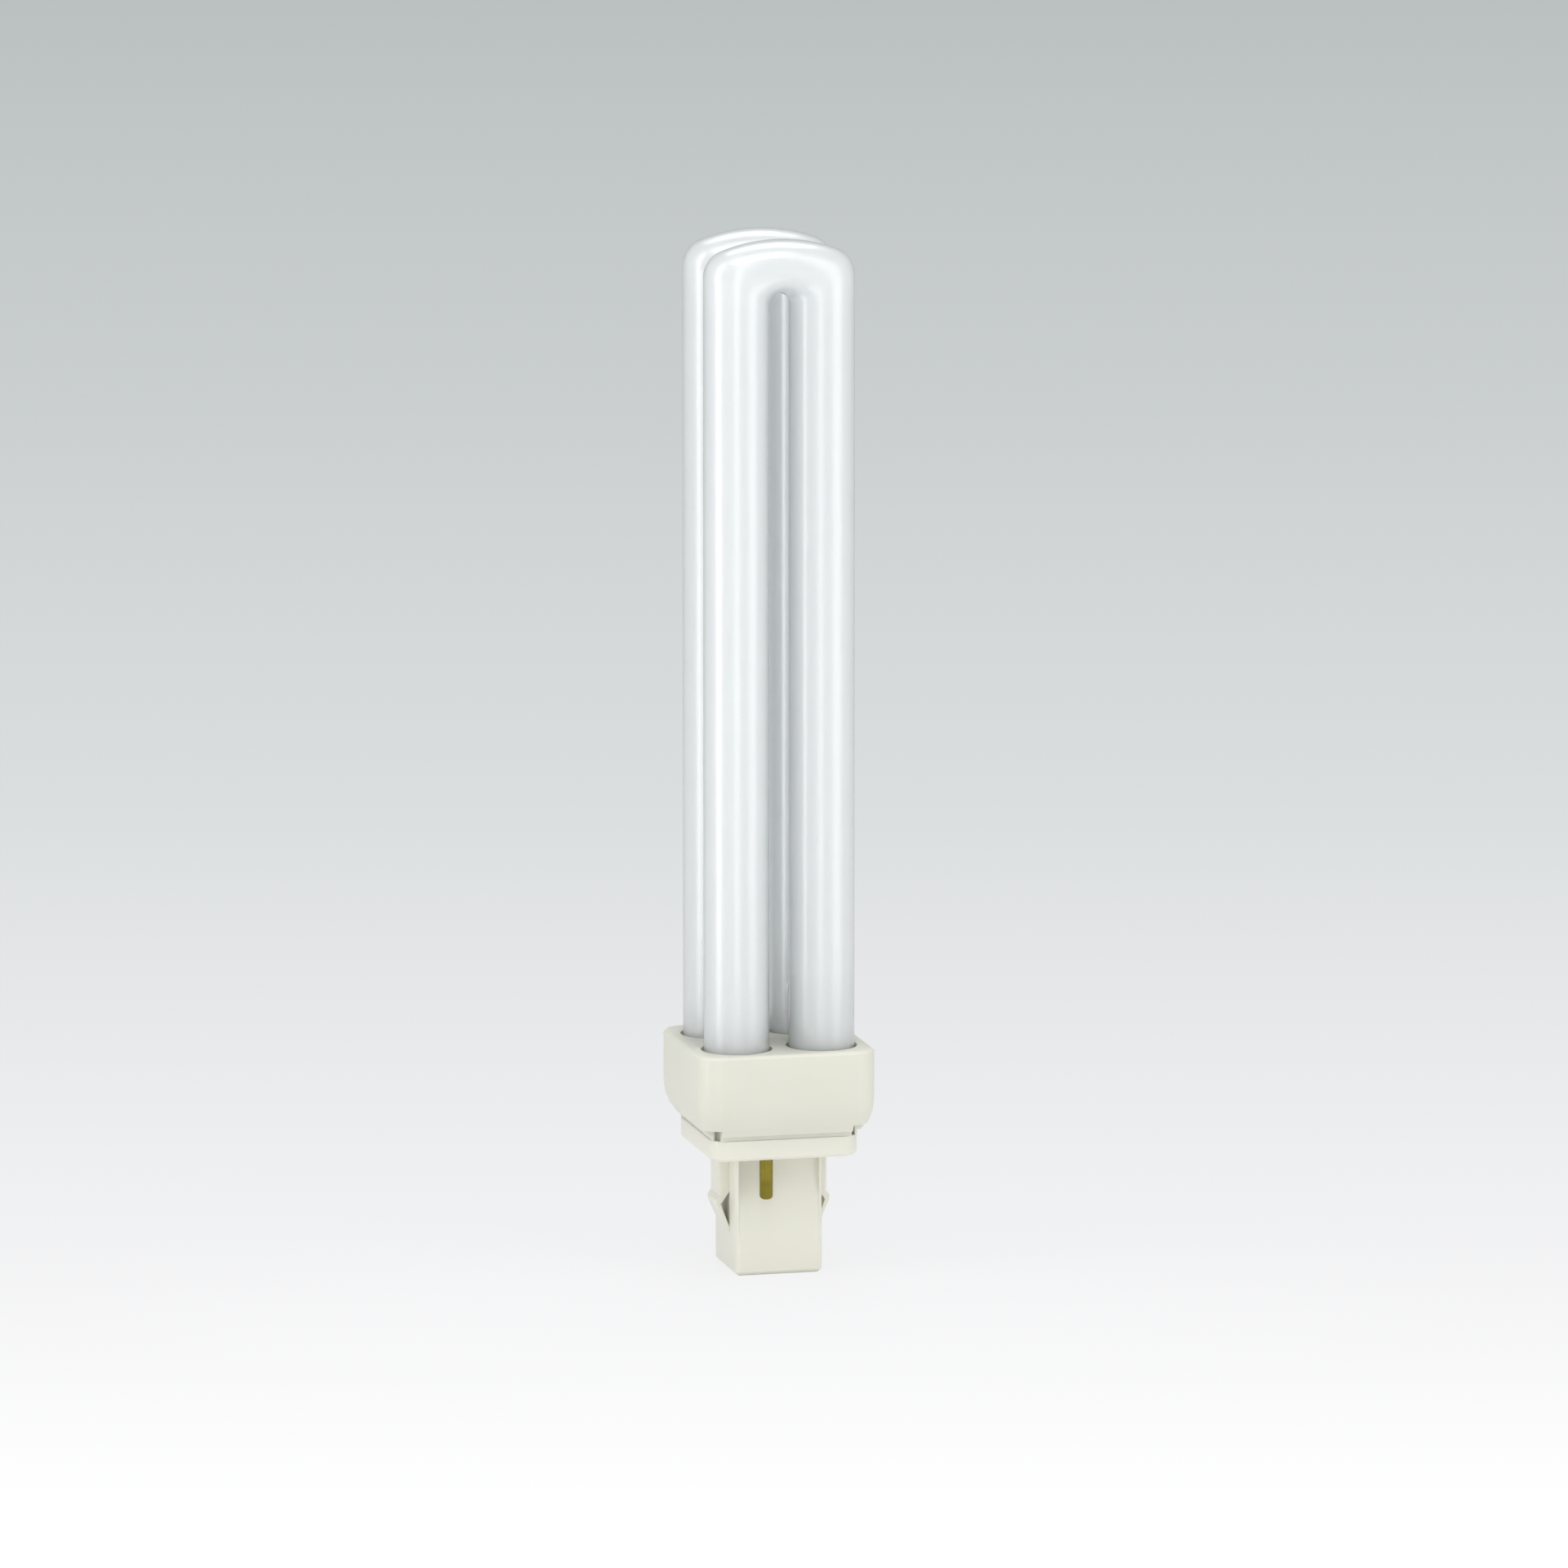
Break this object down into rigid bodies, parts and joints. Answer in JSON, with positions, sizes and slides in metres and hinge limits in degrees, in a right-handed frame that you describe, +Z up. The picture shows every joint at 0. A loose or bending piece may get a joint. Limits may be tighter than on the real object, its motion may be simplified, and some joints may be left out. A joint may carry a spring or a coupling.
{
  "type": "u shaped fluorescent bulb",
  "caption": "White fluorescent bulb of tall U shaped tubes on a square cream cap, with a plug post and brass contact pins.",
  "frame": {"origin": "centre of the flat end of the plug post, which the bulb stands on", "axes": "+Z up the glass, away from the cap; -Y towards the front U and the front pin; +X to the right from the front"},
  "size_m": [0.0328, 0.0328, 0.188],
  "materials": {
    "coated_glass": "gloss",
    "cream_plastic": "satin",
    "pin_brass": "gloss",
    "white_cement": "matte",
    "clear_glass": "gloss",
    "dipped_resin": "gloss",
    "tinned_wire": "satin"
  },
  "bodies": {
    "root": {"discharge_tube": "coated_glass", "cap_collar": "cream_plastic", "cap_base": "cream_plastic", "front_pin": "pin_brass", "rear_pin": "pin_brass", "tube_cement": "white_cement", "starter_bottle": "clear_glass", "suppressor_capacitor": "dipped_resin", "front_pin_lead": "tinned_wire", "front_starter_lead": "tinned_wire", "rear_pin_lead": "tinned_wire", "rear_starter_lead": "tinned_wire"}
  },
  "joints": []
}
